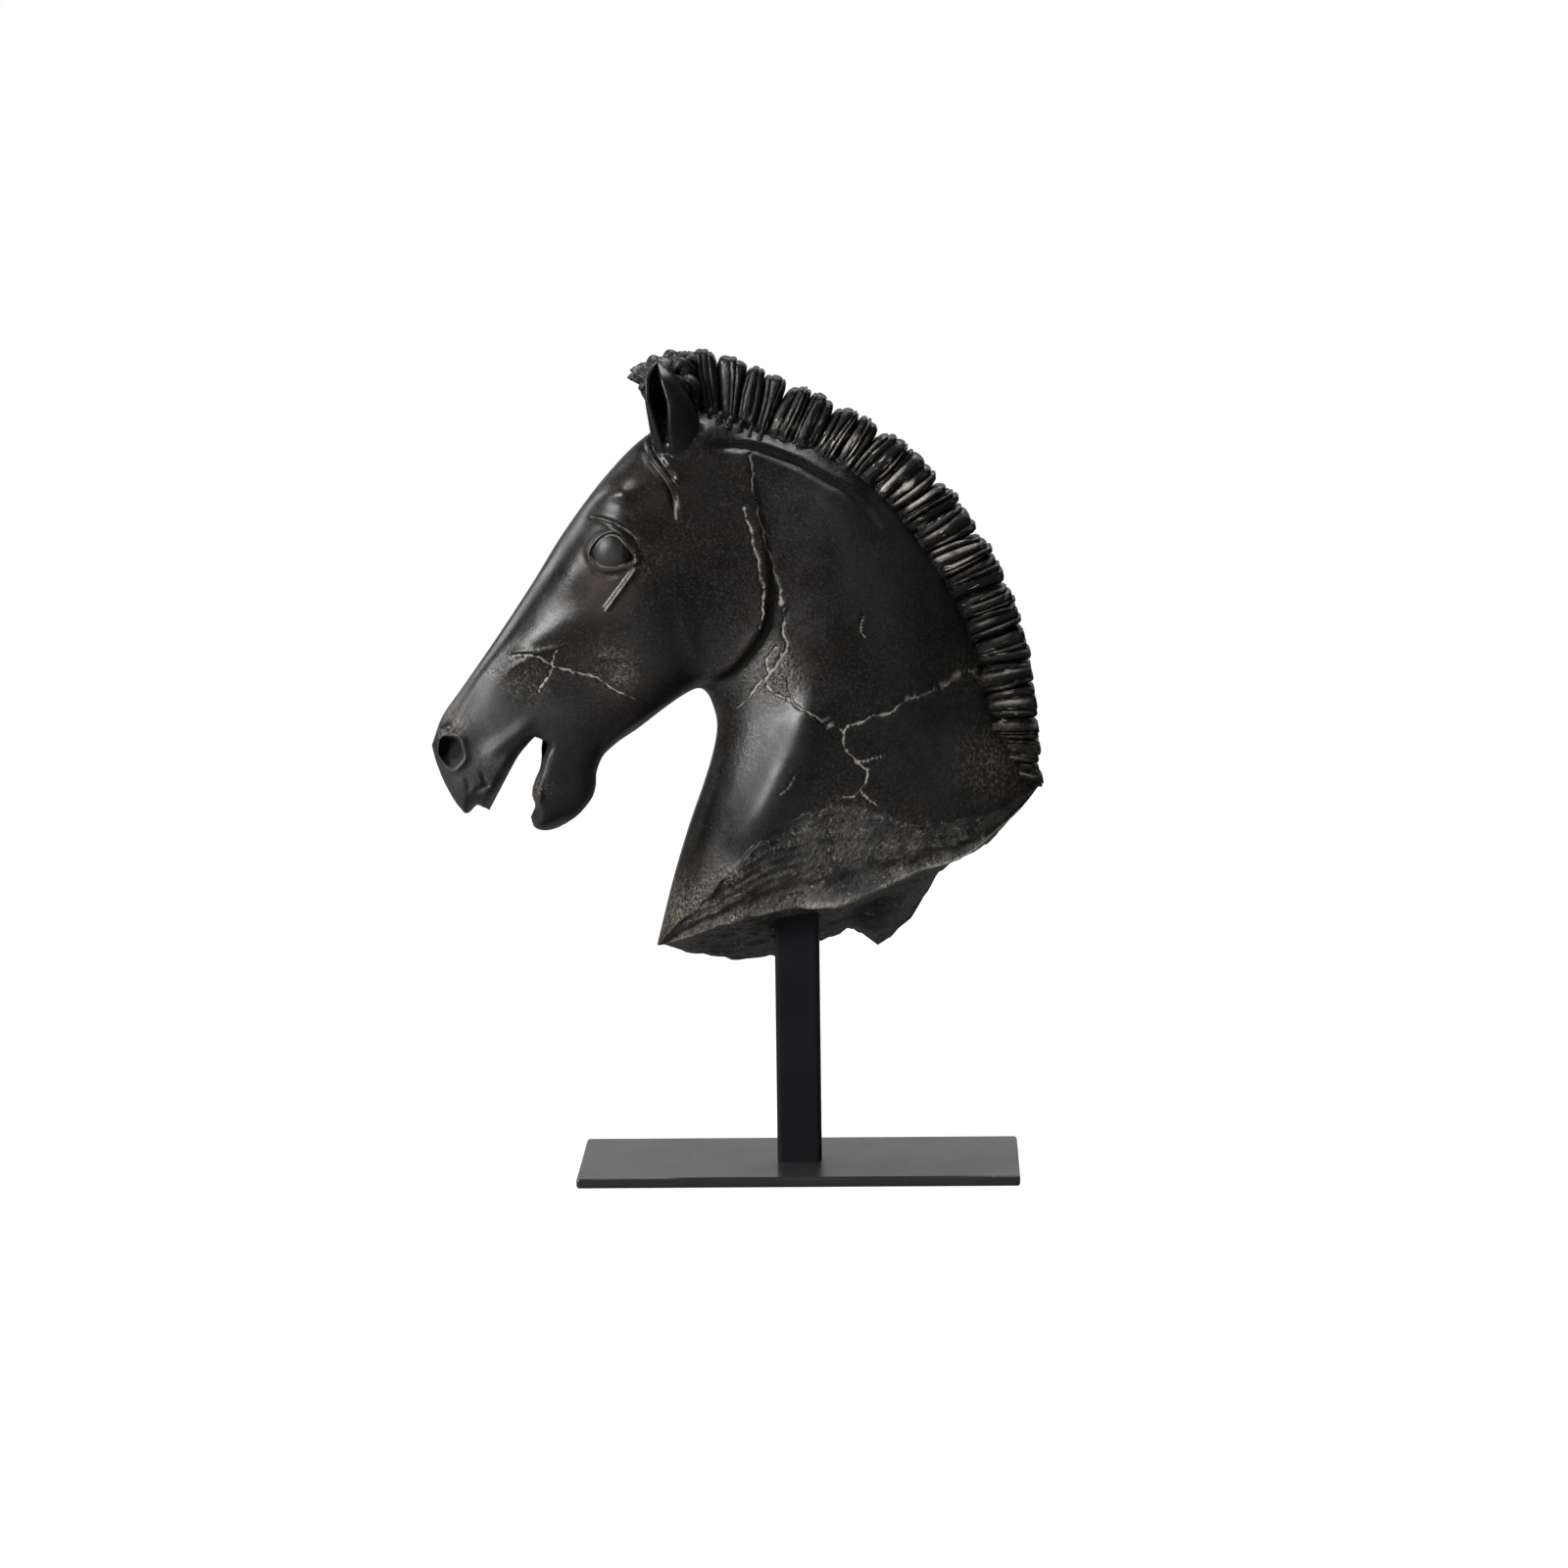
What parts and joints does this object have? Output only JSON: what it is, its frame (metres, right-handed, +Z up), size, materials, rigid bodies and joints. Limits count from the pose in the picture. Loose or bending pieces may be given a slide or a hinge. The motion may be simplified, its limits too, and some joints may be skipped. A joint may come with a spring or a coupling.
{
  "type": "horse head figurine on stand",
  "caption": "Horse head and neck with upright mane and broken lower edge, held on a square post above a flat rectangular plate, for display on a shelf or table.",
  "frame": {"origin": "centre of the base plate's underside", "axes": "+Z up along the post, +X along the plate's long side towards the back of the mane (the horse faces -X), +Y across the plate to the far side of the head"},
  "size_m": [0.3457, 0.1025, 0.4701],
  "materials": {
    "cast_resin": "satin near-black paint with a brown undertone, pale gold rubbed into the cracks and the locks of the mane",
    "post_steel": "matt black powder coat",
    "plate_steel": "satin charcoal powder coat"
  },
  "bodies": {
    "root": {"horse_head": "cast_resin", "post": "post_steel", "base_plate": "plate_steel"}
  },
  "joints": []
}
